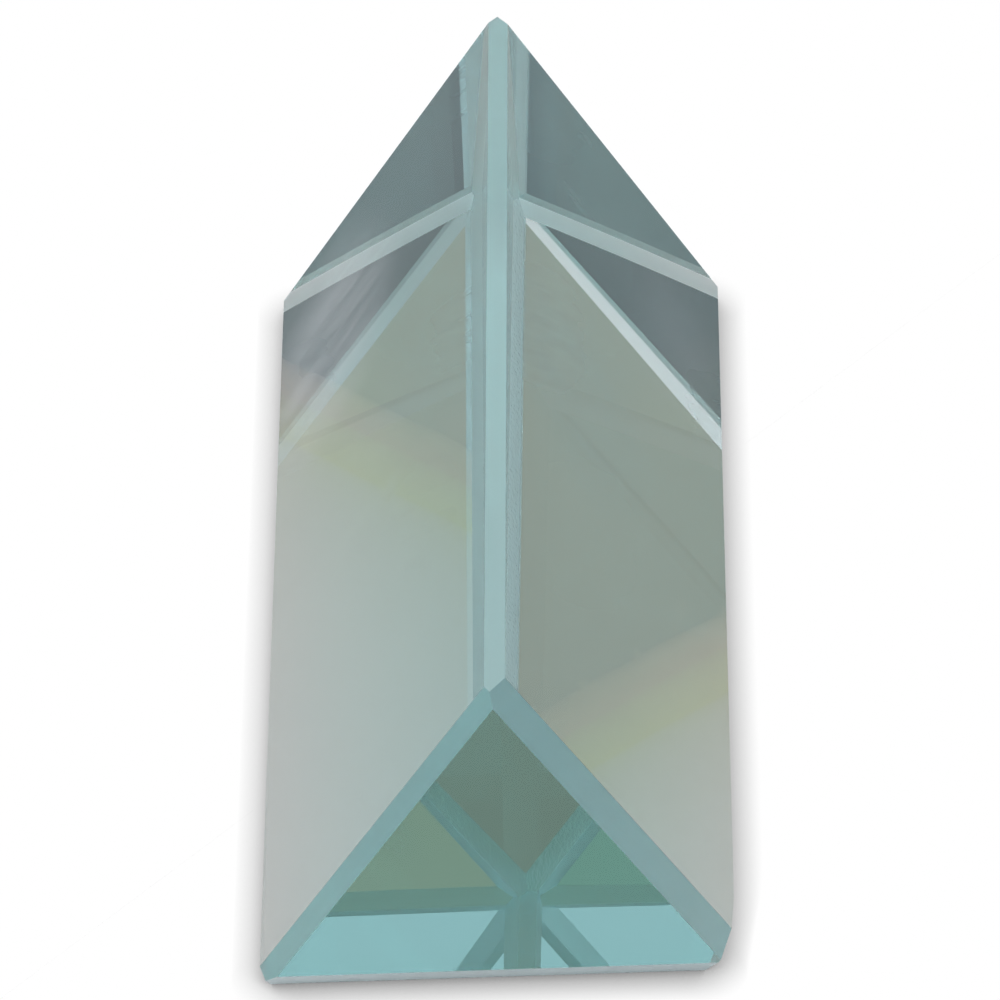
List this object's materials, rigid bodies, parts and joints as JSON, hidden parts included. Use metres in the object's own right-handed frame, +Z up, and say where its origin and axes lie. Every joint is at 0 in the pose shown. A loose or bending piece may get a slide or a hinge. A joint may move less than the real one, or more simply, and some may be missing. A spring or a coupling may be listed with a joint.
{
  "type": "equilateral glass prism",
  "caption": "Solid equilateral glass prism lying on one long face, with polished faces and ground, bevelled edges, for bending and splitting light.",
  "frame": {"origin": "on the resting face, midway between the sharp lines of the two feet and midway between the end faces", "axes": "+Z up from the resting face to the ridge, +Y along the block from the near end to the far end, +X to the right across the block"},
  "size_m": [0.0235, 0.0492, 0.0209],
  "materials": {
    "glass": "clear glass with a faint blue-green tint; five polished faces, fine-ground bevels"
  },
  "bodies": {
    "root": {"prism": "glass"}
  },
  "joints": []
}
